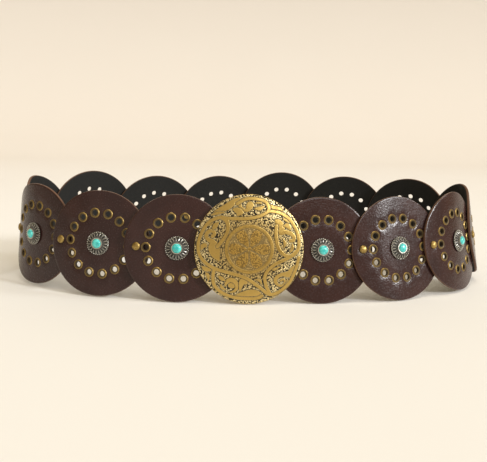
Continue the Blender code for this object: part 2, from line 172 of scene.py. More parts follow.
def discPoints(index, u, h, off):
    # A disc's left side stands over its neighbour by one thickness and a gap.
    u = np.asarray(u, float)
    blend = pitch - discRadius
    raised = (thickness + leather["layerGap"]) * ease((blend - u) / (2 * blend))
    if index == 0:
        raised = raised * 0.0
    return wallPoints(discPlaces[index] + u, discHeight(index) + h, raised + off)


def discSpot(index, u, h, off):
    return frameOf(lambda a, b: discPoints(index, a, b, off), u, h)


def eyeletPlaces(index):
    turn = math.radians(leather["discs"][index][0])
    angles = turn + 2 * math.pi * np.arange(leather["eyeletCount"]) / leather["eyeletCount"]
    reach = leather["eyeletRing"] / 2
    return [(-reach * math.cos(a), reach * math.sin(a)) for a in angles]


def rivetPlaces(index):
    places = []
    for other in (index - 1, index + 1):
        if 0 <= other < discCount:
            along = (discPlaces[other] - discPlaces[index]) / 2
            places.append((along, (discHeight(other) - discHeight(index)) / 2))
    return places


# Small helpers for nodes. The ones that add a node return its outputs or one of them.


def fill(node, inputs):
    # Each input gets a link or a plain value.
    for name, value in inputs.items():
        if isinstance(value, bpy.types.NodeSocket):
            node.id_data.links.new(value, node.inputs[name])
        else:
            node.inputs[name].default_value = value


def addNode(tree, kind, inputs=None, **settings):
    node = tree.nodes.new(kind)
    for name, value in settings.items():
        setattr(node, name, value)
    fill(node, inputs or {})
    return node.outputs


def nextNode(kind, inputs, **settings):
    # A node in the same tree as the first socket that leads into it.
    sockets = (value for value in inputs.values() if isinstance(value, bpy.types.NodeSocket))
    return addNode(next(sockets).id_data, kind, inputs, **settings)


def calc(operation, *values):
    return nextNode("ShaderNodeMath", dict(enumerate(values)), operation=operation)[0]


def times(first, second):
    return calc("MULTIPLY", first, second)


def plus(first, second):
    return calc("ADD", first, second)


def spread(value, low, high, outLow=0.0, outHigh=1.0):
    values = {0: value, 1: low, 2: high, 3: outLow, 4: outHigh}
    return nextNode("ShaderNodeMapRange", values)[0]


def mixFloat(share, first, second):
    return nextNode("ShaderNodeMix", {0: share, 2: first, 3: second})[0]


def mixColour(share, first, second):
    return nextNode("ShaderNodeMix", {0: share, 6: first, 7: second}, data_type="RGBA")[2]


def noise(place, scale, detail):
    return nextNode("ShaderNodeTexNoise", {"Vector": place, "Scale": scale, "Detail": detail})


def cells(place, scale, feature="F1"):
    return nextNode("ShaderNodeTexVoronoi", {"Vector": place, "Scale": scale}, feature=feature)


def bend(place, wander, reach):
    # The place, pushed about by the colours of a noise.
    values = {0: wander["Color"], 1: (reach, reach, reach), 2: place}
    return nextNode("ShaderNodeVectorMath", values, operation="MULTIPLY_ADD")[0]


socketKinds = {float: "Float", int: "Int", tuple: "Vector", type(None): "Geometry"}


def newTree(name, kind, inputs, outputs):
    # The kind of a socket follows from its first value; None is for geometry.
    tree = bpy.data.node_groups.new(name, kind)
    for way, sockets in (("INPUT", inputs), ("OUTPUT", outputs)):
        for label, value in sockets.items():
            made = "NodeSocket" + socketKinds[type(value)]
            socket = tree.interface.new_socket(label, in_out=way, socket_type=made)
            if value is not None:
                socket.default_value = value
    given = tree.nodes.new("NodeGroupInput").outputs
    return tree, given, tree.nodes.new("NodeGroupOutput")


def newEffect(name, outputs, **inputs):
    inputs = {"Vector": (0.0, 0.0, 0.0), **inputs}
    return newTree(name, "ShaderNodeTree", inputs, dict.fromkeys(outputs, 0.0))


def rgb(red, green, blue):
    # From the 0-255 values of a colour picker to the linear ones of a shader.
    values = [v / 255 for v in (red, green, blue)]
    linear = [v / 12.92 if v <= 0.04045 else ((v + 0.055) / 1.055) ** 2.4 for v in values]
    return (*linear, 1.0)


# Small helpers for meshes.


def meshPiece(name, points, faces, material, sharp=38.0, **attributes):
    mesh = bpy.data.meshes.new(name)
    mesh.from_pydata([tuple(p) for p in points], [], faces)
    mesh.materials.append(material)
    for label, values in attributes.items():
        mesh.attributes.new(label, "FLOAT", "POINT").data.foreach_set("value", values)
    return finishPiece(name, mesh, sharp)


def finishPiece(name, mesh, sharp):
    mesh.validate()
    mesh.shade_smooth()
    mesh.set_sharp_from_angle(angle=math.radians(sharp))
    piece = bpy.data.objects.new(name, mesh)
    bpy.context.scene.collection.objects.link(piece)
    return piece


def numbered(name, index):
    return f"{name}_{index + 1:02d}"


def dress(piece, slot, *nodes):
    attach(piece, "root")
    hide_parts(*nodes)


def circle(centre, radius, sides, start=0.0):
    turns = [start + 2 * math.pi * k / sides for k in range(sides)]
    x, y = centre
    return [Vector((x + radius * math.cos(t), y + radius * math.sin(t))) for t in turns]


def joinRings(first, second):
    # Quads between two rings of the same number of points.
    nextFirst, nextSecond = first[1:] + first[:1], second[1:] + second[:1]
    return list(zip(first, second, nextSecond, nextFirst))


# Surface effects that several finishes share.


def buildGrimeAndShade():
    # Dark deposits of an antique finish in soft patches, and darkening by a hollow mask, which on
    # the eyelets and the flower plates is partly painted shade.
    inputs = {"Patch Size": 220.0, "Amount": 0.4, "Hollow": 0.0}
    group, given, end = newEffect("darkening", ("Mask", "Height"), **inputs)
    patches = noise(given["Vector"], given["Patch Size"], 5.0)[0]
    soft = times(spread(patches, 0.42, 0.72), given["Amount"])
    hollow = times(given["Hollow"], spread(patches, 0.3, 0.6, 0.94, 1.0))
    fill(end, {"Mask": calc("MAXIMUM", soft, hollow), "Height": patches})
    return group


def buildScuffs():
    # Fine wear: hairline scratches and a soft change of gloss.
    inputs = {"Scale": 900.0, "Smooth": 0.28, "Rough": 0.5}
    group, given, end = newEffect("scuffs", ("Roughness", "Height"), **inputs)
    place = given["Vector"]
    values = {"Vector": place, "Rotation": (0.3, 0.5, 0.9), "Scale": (1.0, 1.0, 0.12)}
    lines = noise(nextNode("ShaderNodeMapping", values)[0], given["Scale"], 3.0)[0]
    clouds = noise(place, 160.0, 2.0)[0]
    both = plus(times(lines, 0.45), times(clouds, 0.55))
    rough = spread(both, 0.35, 0.65, given["Smooth"], given["Rough"])
    fill(end, {"Roughness": rough, "Height": lines})
    return group


def buildHideGrain():
    # Leather grain: small rounded cells between creases, softened in patches.
    inputs = {"Cell Scale": 1300.0, "Crease": 0.6, "Waves": 0.5}
    group, given, end = newEffect("hideGrain", ("Height", "Tone", "Speckle"), **inputs)
    place, scale = given["Vector"], given["Cell Scale"]
    wander = noise(place, scale, 2.0)
    pebbles = cells(bend(place, wander, 0.0005), scale, "SMOOTH_F1")["Distance"]
    wide = noise(place, 45.0, 4.0)[0]
    raised = times(calc("SUBTRACT", 1.0, pebbles), given["Crease"])
    soft = calc("MULTIPLY_ADD", wide, given["Waves"], wander[0])
    pores = cells(place, times(scale, 1.15))["Color"]
    fill(end, {"Height": plus(raised, soft), "Tone": wide, "Speckle": pores})
    return group


darkening = buildGrimeAndShade()
scuffs = buildScuffs()
hideGrain = buildHideGrain()


def newMaterial(name, shown):
    material = bpy.data.materials.new(name)
    material.use_nodes = True
    material.diffuse_color = shown
    place = addNode(material.node_tree, "ShaderNodeTexCoord")["Object"]
    return material, material.node_tree.nodes["Principled BSDF"], place


def useGroup(group, **inputs):
    return nextNode("ShaderNodeGroup", inputs, node_tree=group)


def attribute(shader, name):
    return addNode(shader.id_data, "ShaderNodeAttribute", attribute_name=name)["Fac"]


def bump(height, strength, distance):
    values = {"Strength": strength, "Distance": distance, "Height": height}
    return nextNode("ShaderNodeBump", values)[0]


discFinish = {
    "outer": rgb(56, 35, 33),
    "outerDark": rgb(46, 28, 27),
    "inner": rgb(23, 23, 22),
    "innerPale": rgb(33, 33, 31),
    "innerRough": 0.78,
    "edge": rgb(104, 76, 60),
    "gloss": (0.18, 0.29),  # roughness of the smoothest and the dullest pores
    "sheen": 0.34,  # specular level of a waxed hide
    "grain": {"Cell Scale": 860.0, "Crease": 0.35, "Waves": 0.2},
    "relief": 0.00014,
}


def buildLeather():
    look = discFinish
    material, shader, place = newMaterial("discLeather", look["outer"])
    outerSide = attribute(shader, "outerSide")
    grain = useGroup(hideGrain, Vector=place, **look["grain"])
    flesh = noise(place, 1400.0, 4.0)[0]
    tone = spread(grain["Tone"], 0.35, 0.65)
    outer = mixColour(tone, look["outerDark"], look["outer"])
    inner = mixColour(spread(flesh, 0.35, 0.7), look["inner"], look["innerPale"])
    faces = mixColour(outerSide, inner, outer)
    smooth = spread(grain["Speckle"], 0.15, 0.85, *look["gloss"])
    height = mixFloat(outerSide, flesh, grain["Height"])
    fill(shader, {
        "Base Color": mixColour(attribute(shader, "cutEdge"), faces, look["edge"]),
        "Roughness": mixFloat(outerSide, look["innerRough"], smooth),
        "Specular IOR Level": look["sheen"],
        "Normal": bump(height, 0.8, look["relief"]),
    })
    return material


metals = {
    "agedBrass": {
        "clean": rgb(172, 146, 88),
        "tarnishAndShade": rgb(46, 34, 18),
        "darkening": 0.6,
        "patchSize": 700.0,
        "rough": (0.26, 0.46),
        "relief": 0.00005,
    },
    "agedSilver": {
        "clean": rgb(206, 203, 194),
        "tarnishAndShade": rgb(4, 4, 4),
        "darkening": 0.12,
        "patchSize": 900.0,
        "rough": (0.24, 0.40),
        "relief": 0.00004,
    },
}


def metalEffects(place, look, hollow):
    # Darkening and scuffs with the numbers of one metal; the darkening is grime, and painted
    # shade where a hollow mask asks for it.
    darkened = {"Patch Size": look["patchSize"], "Amount": look["darkening"], "Hollow": hollow}
    smooth, rough = look["rough"]
    wear = useGroup(scuffs, Vector=place, Smooth=smooth, Rough=rough)
    return useGroup(darkening, Vector=place, **darkened), wear


def buildMetal(name):
    look = metals[name]
    material, shader, place = newMaterial(name, look["clean"])
    darkened, wear = metalEffects(place, look, attribute(shader, "hollow"))
    dull = spread(darkened["Mask"], 0.0, 1.0, 0.0, 0.3)
    height = plus(wear["Height"], times(darkened["Height"], 0.6))
    # The dark colour is tarnish, and where the hollow mask is high it is painted shade as well.
    fill(shader, {
        "Base Color": mixColour(darkened["Mask"], look["clean"], look["tarnishAndShade"]),
        "Roughness": plus(wear["Roughness"], dull),
        "Metallic": spread(darkened["Mask"], 0.3, 0.95, 1.0, 0.0),
        "Specular IOR Level": 0.3,
        "Normal": bump(height, 0.35, look["relief"]),
    })
    return material


stoneFinish = {
    "shown": rgb(64, 200, 190),
    "deep": rgb(30, 176, 176),
    "pale": rgb(96, 220, 214),
    "vein": rgb(38, 84, 74),
    "veinScale": 420.0,
    "wander": 0.0016,
    "polish": 0.5,  # coat weight
}


def buildTurquoise():
    look = stoneFinish
    material, shader, place = newMaterial("turquoiseStone", look["shown"])
    wander = noise(place, look["veinScale"], 4.0)
    tone = spread(wander[0], 0.35, 0.65)
    bent = bend(place, wander, look["wander"])
    edges = cells(bent, look["veinScale"], "DISTANCE_TO_EDGE")["Distance"]
    vein = spread(edges, 0.015, 0.06, 1.0, 0.0)
    patchy = times(vein, spread(tone, 0.2, 0.8, 0.75, 0.1))
    body = mixColour(tone, look["deep"], look["pale"])
    fill(shader, {
        "Base Color": mixColour(patchy, body, look["vein"]),
        "Roughness": spread(patchy, 0.0, 1.0, 0.24, 0.5),
        "Coat Weight": look["polish"],
        "Coat Roughness": 0.12,
        "Normal": bump(patchy, -0.3, 0.0001),
    })
    return material


discLeather = buildLeather()
agedBrass = buildMetal("agedBrass")
agedSilver = buildMetal("agedSilver")
turquoiseStone = buildTurquoise()
print("finishes made")


# Leather discs.


def discPattern(index):
    # Flat triangles of a face, with denser rings round whatever is set in it.
    pressed = [(place, leather["eyeletDent"]) for place in eyeletPlaces(index)]
    pressed += [(place, leather["rivetDent"]) for place in rivetPlaces(index)]
    loops = [circle((0.0, 0.0), flatRadius, leather["rimSides"])]
    for place in eyeletPlaces(index):
        loops.append(circle(place, leather["eyeletHole"] / 2, leather["eyeletSides"]))
    for place in rivetPlaces(index):
        loops.append(circle(place, leather["rivetHole"] / 2, leather["holeSides"]))
    loops.append(circle((0.0, 0.0), leather["prongHole"] / 2, leather["holeSides"]))
    holeCount = len(loops)
    loops.append(circle((0.0, 0.0), flatRadius - 0.0010, leather["rimSides"]))
    dots = []
    for place, reach in pressed:
        for more in leather["dentRings"]:
            dots += circle(place, reach + more, leather["eyeletSides"], more * 300)
    step = leather["grid"]
    rows = int(restRadius / step) + 1
    centres = np.array([place for place, _ in pressed])
    for row in range(-rows, rows + 1):
        for column in range(-rows, rows + 1):
            p = np.array(((column + 0.5 * (row % 2)) * step, row * step * 0.866))
            clear = np.hypot(*(centres - p).T).min()
            if np.hypot(*p) < restRadius - leather["gridMargin"] and clear > leather["gridClear"]:
                dots.append(Vector(p))
    dots = [p for p in dots if p.length < flatRadius - 0.0014]
    points, edges, rings = [], [], []
    for ring in loops:
        rings.append([len(points) + k for k in range(len(ring))])
        edges += zip(rings[-1], rings[-1][1:] + rings[-1][:1])
        points += ring
    found, _, faces, origins, *_ = delaunay_2d_cdt(points + dots, edges, [], 0, 1e-6)
    flat = np.array([tuple(p) for p in found])
    middles = flat[np.array(faces)].mean(axis=1)
    kept = np.hypot(*middles.T) < flatRadius
    for ring in loops[1:holeCount]:
        ring = np.array([tuple(p) for p in ring])
        centre = ring.mean(axis=0)
        radius = np.hypot(*(ring[0] - centre))
        kept &= np.hypot(*(middles - centre).T) > radius * 0.97
    cameTo = {old: new for new, olds in enumerate(origins) for old in olds}
    rings = [[cameTo[k] for k in ring] for ring in rings[:holeCount]]
    return flat, [tuple(f) for f, keep in zip(faces, kept) if keep], rings, pressed


def makeDisc(index):
    flat, faces, rings, pressed = discPattern(index)
    count = len(flat)
    u, h = flat.T
    sunk = np.zeros(count)
    for place, reach in pressed:
        away = np.hypot(u - place[0], h - place[1])
        sunk = np.maximum(sunk, ease(1 - (away - reach) / leather["dentSlope"]))
    points = [discPoints(index, u, h, thickness - leather["dent"] * sunk)]
    points.append(discPoints(index, u, h, 0.0))
    outer = [np.ones(count), np.zeros(count)]
    cut = [np.zeros(count), np.zeros(count)]
    faces += [tuple(count + k for k in reversed(face)) for face in faces]
    rim = before = rings[0]
    for number, (inwards, share, outerLook, cutLook) in enumerate(leather["edgeSteps"]):
        scale = (restRadius - leather["edgeRound"] * inwards) / flatRadius
        points.append(discPoints(index, u[rim] * scale, h[rim] * scale, thickness * share))
        outer.append(np.full(len(rim), outerLook))
        cut.append(np.full(len(rim), cutLook))
        after = [2 * count + number * len(rim) + k for k in range(len(rim))]
        faces += joinRings(before, after)
        before = after
    faces += joinRings(before, [count + k for k in rim])
    for ring in rings[1:]:
        faces += joinRings([count + k for k in ring], ring)
    looks = {"outerSide": np.concatenate(outer), "cutEdge": np.concatenate(cut)}
    name = numbered("leather_disc", index)
    piece = meshPiece(name, np.concatenate(points), faces, discLeather, **looks)
    addPatternMap(piece, flat)
    dress(piece, "leather", numbered("disc", index))


def addPatternMap(piece, flat):
    # A map that follows the flat cut of the leather.
    mesh = piece.data
    corners = np.empty(len(mesh.loops), np.int32)
    mesh.loops.foreach_get("vertex_index", corners)
    where = np.zeros((len(mesh.vertices), 2))
    where[: 2 * len(flat)] = np.tile(flat, (2, 1))
    values = where[corners] / leather["diameter"] + 0.5
    layer = mesh.uv_layers.new(name="cutPattern")
    layer.data.foreach_set("uv", values.astype(np.float32).ravel())


for index in range(discCount):
    makeDisc(index)
print("leather discs made")


# Turned shapes and rings of small shapes come from Geometry Nodes.


def newShapeTree(name, inputs):
    inputs = {"Geometry": None, **inputs}
    return newTree(name, "GeometryNodeTree", inputs, {"Geometry": None})


def point(*values):
    return nextNode("ShaderNodeCombineXYZ", dict(enumerate(values)))[0]


def placeParts(tree):
    place = addNode(tree, "GeometryNodeInputPosition")[0]
    return nextNode("ShaderNodeSeparateXYZ", {0: place})


def awayFromAxis(parts):
    level = point(parts[0], parts[1])
    return nextNode("ShaderNodeVectorMath", {0: level}, operation="LENGTH")["Value"]


def setPlace(geometry, x, y, z):
    values = {"Geometry": geometry, "Position": point(x, y, z)}
    return nextNode("GeometryNodeSetPosition", values)[0]


def turned(sides, profile):
    # A profile of (radius, height) pairs turned round Z. It runs up on the outside
    # and inwards on top, so that the faces point outwards.
    tree, count = sides.id_data, len(profile)
    values = {"Size X": 1.0, "Size Y": 1.0, "Vertices X": plus(sides, 1), "Vertices Y": count}
    grid = nextNode("GeometryNodeMeshGrid", values)[0]
    parts = placeParts(tree)
    angle = times(plus(parts[0], 0.5), 2 * math.pi)
    row = calc("ROUND", times(plus(parts[1], 0.5), count - 1.0))
    picked = []
    for column in zip(*profile):
        pick = tree.nodes.new("GeometryNodeIndexSwitch")
        pick.data_type = "FLOAT"
        while len(pick.index_switch_items) < count:
            pick.index_switch_items.new()
        fill(pick, dict(enumerate((row, *column))))
        picked.append(pick.outputs[0])
    radius, height = picked
    x = times(radius, calc("COSINE", angle))
    y = times(radius, calc("SINE", angle))
    values = {"Geometry": setPlace(grid, x, y, height), "Distance": 1e-6}
    return nextNode("GeometryNodeMergeByDistance", values)[0]


def mark(geometry, hollow):
    # How hollow the surface is, for the darkening: on the eyelets and the flower plates it is
    # partly painted shade.
    values = {"Geometry": geometry, "Name": "hollow", "Value": hollow}
    settings = {"data_type": "FLOAT", "domain": "POINT"}
    return nextNode("GeometryNodeStoreNamedAttribute", values, **settings)[0]


def copiesOf(shape, points, facing, axis):
    turn = nextNode("FunctionNodeAlignRotationToVector", {"Vector": facing}, axis=axis)[0]
    values = {"Points": points, "Instance": shape, "Rotation": turn}
    return nextNode("GeometryNodeInstanceOnPoints", values)[0]


def endTree(end, geometry, material):
    real = nextNode("GeometryNodeRealizeInstances", {0: geometry})[0]
    values = {"Geometry": real, "Material": material}
    fill(end, {0: nextNode("GeometryNodeSetMaterial", values)[0]})


def runTree(tree, carrier, values=None):
    # The tree's result on the carrier's points, as a plain mesh.
    holder = bpy.data.objects.new("carrier", carrier)
    bpy.context.scene.collection.objects.link(holder)
    modifier = holder.modifiers.new("shape", "NODES")
    modifier.node_group = tree
    for socket in tree.interface.items_tree:
        if socket.in_out == "INPUT" and socket.name in (values or {}):
            modifier[socket.identifier] = values[socket.name]
    graph = bpy.context.evaluated_depsgraph_get()
    mesh = bpy.data.meshes.new_from_object(holder.evaluated_get(graph), depsgraph=graph)
    bpy.data.objects.remove(holder)
    return mesh


def carrierMesh(points=((0.0, 0.0, 0.0),), facings=()):
    mesh = bpy.data.meshes.new("carrier")
    mesh.from_pydata([tuple(p) for p in points], [], [])
    if len(facings):
        layer = mesh.attributes.new("facing", "FLOAT_VECTOR", "POINT")
        layer.data.foreach_set("vector", np.array(facings, np.float32).ravel())
    return mesh


eyelet = {
    "Flange Radius": 0.00380,
    "Bore Radius": 0.00215,
    "Flange Height": 0.00062,
    "Barrel Depth": 0.00178,
    "Sides": 12,
}


def buildEyeletTree():
    tree, given, end = newShapeTree("eyeletRings", eyelet)
    flange, bore = given["Flange Radius"], given["Bore Radius"]
    foot = 0.00002
    profile = [
        (flange, foot),
        (times(plus(flange, bore), 0.52), given["Flange Height"]),
        (bore, times(given["Flange Height"], 0.45)),
        (bore, times(given["Barrel Depth"], -1.0)),
        (plus(bore, 0.00022), -2 * foot),
        (flange, foot),
    ]
    ring = turned(given["Sides"], profile)
    away = awayFromAxis(placeParts(tree))
    # Darker from the flange's outer edge into the bore: the brass's patina, with painted shade in
    # the hole.
    ring = mark(ring, spread(away, flange, times(bore, 1.3), 0.02, 1.0))
    kind = "GeometryNodeInputNamedAttribute"
    facing = addNode(tree, kind, {"Name": "facing"}, data_type="FLOAT_VECTOR")[0]
    endTree(end, copiesOf(ring, given["Geometry"], facing, "Z"), agedBrass)
    return tree


def makeEyelets(index):
    off = thickness - leather["dent"]
    spots = [discSpot(index, u, h, off) for u, h in eyeletPlaces(index)]
    facings = [spot.col[2].to_3d() for spot in spots]
    mesh = runTree(eyeletTree, carrierMesh([spot.translation for spot in spots], facings), eyelet)
    piece = finishPiece(numbered("eyelets", index), mesh, 60.0)
    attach(piece, "root")


eyeletTree = buildEyeletTree()
for index in range(discCount):
    makeEyelets(index)
print("eyelets set")


flower = {
    "Radius": 0.0088,
    "Cup Radius": 0.0042,
    "Cup Height": 0.0036,
    "Rim Level": 0.00085,
    "Cone Level": 0.0021,
    "Seat Level": 0.0027,  # the floor of the cup, under the stone
    "Petals": 19,
    "Petal Width": 0.00096,
    "Petal Wire": 0.00014,
    "Rim Beads": 34,
    "Cup Beads": 24,
    "Sides": 48,
}


def ringOf(shape, count, radius, height):
    # Copies of a shape round Z, turned with their place.
    ring = nextNode("GeometryNodeMeshCircle", {"Vertices": count, "Radius": radius})[0]
    values = {"Geometry": ring, "Translation": (0.0, 0.0, height)}
    lifted = nextNode("GeometryNodeTransform", values)[0]
    parts = placeParts(count.id_data)
    return copiesOf(shape, lifted, point(parts[0], parts[1]), "X")


def bead(tree, radius, squash):
    values = {"Segments": 8, "Rings": 4, "Radius": radius}
    ball = addNode(tree, "GeometryNodeMeshUVSphere", values)[0]
    return nextNode("GeometryNodeTransform", {"Geometry": ball, "Scale": squash})[0]


def buildPlate(given, parts):
    # The pierced cone and its cup, black but for the cup's lip: the silver's blackened recesses,
    # and painted shade standing for the openings between the wires.
    radius, cup = given["Radius"], given["Cup Radius"]
    cupHeight, seat = given["Cup Height"], given["Seat Level"]
    rim, cone = given["Rim Level"], given["Cone Level"]
    profile = [
        (0.0, 0.0), (times(radius, 0.965), 0.0), (radius, 0.0004),
        (times(radius, 0.985), 0.0009), (times(radius, 0.91), plus(rim, -0.0001)),
        (plus(cup, 0.0004), cone), (cup, plus(cone, 0.0002)), (times(cup, 0.985), cupHeight),
        (times(cup, 0.86), cupHeight), (times(cup, 0.85), seat), (0.0, seat),
    ]
    plate = turned(given["Sides"], profile)
    away = awayFromAxis(parts)
    fromLip = calc("ABSOLUTE", calc("SUBTRACT", away, times(cup, 0.925)))
    # Black all over but a band at the lip: painted shade for the openings, over the silver's
    # blackened recesses.
    blackenedAndShaded = calc("GREATER_THAN", fromLip, times(cup, 0.068))
    return mark(plate, times(blackenedAndShaded, 0.97))


def buildPetal(tree, given, parts):
    # A drop-shaped loop of wire that climbs the cone to the cup.
    inner = plus(given["Cup Radius"], 0.0005)
    outer = times(given["Radius"], 0.94)
    middle = times(plus(inner, outer), 0.5)
    half = times(calc("SUBTRACT", outer, inner), 0.5)
    x = calc("MULTIPLY_ADD", parts[0], half, middle)
    y = times(parts[1], calc("MULTIPLY_ADD", parts[0], 0.00022, given["Petal Width"]))
    levels = [plus(given[name], 0.00012) for name in ("Cone Level", "Rim Level")]
    z = spread(x, inner, outer, *levels)
    rings = []
    for sides, size in ((12, 1.0), (4, given["Petal Wire"])):
        values = {"Resolution": sides, "Radius": size}
        rings.append(addNode(tree, "GeometryNodeCurvePrimitiveCircle", values)[0])
    values = {"Curve": setPlace(rings[0], x, y, z), "Profile Curve": rings[1]}
    petal = nextNode("GeometryNodeCurveToMesh", values)[0]
    # Darker at its inner end, towards the cup.
    return mark(petal, spread(parts[0], inner, middle, 0.8, 0.0))


def buildFlowerTree():
    tree, given, end = newShapeTree("flowerSetting", flower)
    radius, cup = given["Radius"], given["Cup Radius"]
    parts = placeParts(tree)
    petals = ringOf(buildPetal(tree, given, parts), given["Petals"], 0.000001, 0.0)
    knot = bead(tree, times(radius, 0.047), (0.8, 1.2, 0.9))
    rope = ringOf(knot, given["Rim Beads"], times(radius, 0.962), 0.00080)
    pearl = mark(bead(tree, 0.00026, (0.9, 1.15, 1.2)), 0.5)
    pearls = ringOf(pearl, given["Cup Beads"], plus(cup, 0.00030), 0.00245)
    joined = tree.nodes.new("GeometryNodeJoinGeometry")
    plate = buildPlate(given, parts)
    for shape in (plate, petals, mark(rope, 0.12), pearls):
        tree.links.new(shape, joined.inputs[0])
    endTree(end, joined.outputs[0], agedSilver)
    return tree


def turnedMesh(name, sides, profile, material):
    # One turned shape, made by its own small tree.
    tree, given, end = newShapeTree(name, {"Sides": sides})
    endTree(end, mark(turned(given["Sides"], profile), 0.0), material)
    return runTree(tree, carrierMesh(), {"Sides": sides})


def placeCopy(name, source, spot, slot, node, sharp):
    mesh = source.copy()
    mesh.transform(spot)
    dress(finishPiece(name, mesh, sharp), slot, node)


stone = {
    "sides": 36,
    "seat": 0.0030,  # its foot above the flower's foot
    "flowerGap": 0.00012,  # between the leather and the flower's foot
    "turnStep": 0.7,  # how far each flower and stone is turned from the one before
    "profile": (
        (0.0, 0.0), (0.00345, 0.0), (0.00352, 0.0004), (0.00338, 0.0009),
        (0.00296, 0.00138), (0.00228, 0.00178), (0.00140, 0.00206), (0.00062, 0.00218),
        (0.0, 0.0022),
    ),
}

flowerMesh = runTree(buildFlowerTree(), carrierMesh(), flower)
stoneMesh = turnedMesh("cabochon", stone["sides"], stone["profile"], turquoiseStone)
seat = Matrix.Translation((0.0, 0.0, stone["seat"]))
for index in range(discCount):
    spot = discSpot(index, 0.0, 0.0, thickness + stone["flowerGap"])
    turn = Matrix.Rotation(stone["turnStep"] * index, 4, "Z")
    names = [numbered(name, index) for name in ("flower", "setting", "cabochon", "stone")]
    placeCopy(names[0], flowerMesh, spot @ turn, "antique_silver", names[1], 50.0)
    placeCopy(names[2], stoneMesh, spot @ seat @ turn, "turquoise", names[3], 60.0)
print("flowers and stones set")


rivet = {
    "sides": 28,
    "capRadius": 0.00315,
    "shaftRadius": 0.0013,
    "capHeight": 0.0017,
    "backHeight": 0.0011,
    "clear": 0.00005,  # between a cap and the leather
}


def rivetProfile():
    cap, shaft = rivet["capRadius"], rivet["shaftRadius"]
    top = 2 * thickness + leather["layerGap"] - leather["dent"] + rivet["clear"]
    high, low = rivet["capHeight"], rivet["backHeight"]
    return (
        (0.0, -low), (cap * 0.45, -low * 0.94), (cap * 0.82, -low * 0.62),
        (cap, -low * 0.2), (cap * 0.97, -rivet["clear"]), (shaft, -rivet["clear"]),
        (shaft, top), (cap * 0.97, top), (cap, top + high * 0.16),
        (cap * 0.90, top + high * 0.48), (cap * 0.66, top + high * 0.78),
        (cap * 0.36, top + high * 0.95), (0.0, top + high),
    )


rivetMesh = turnedMesh("rivetPair", rivet["sides"], rivetProfile(), agedBrass)
for index in range(discCount - 1):
    height = (discHeight(index) + discHeight(index + 1)) / 2
    middle = (discPlaces[index] + discPlaces[index + 1]) / 2
    spot = frameOf(lambda a, b: wallPoints(a, b, 0.0), middle, height)
    name, node = numbered("brass_rivet", index), numbered("rivet", index)
    placeCopy(name, rivetMesh, spot, "brass", node, 50.0)
print("rivets set")


# Buckle, in millimetres from its centre, seen from the front.

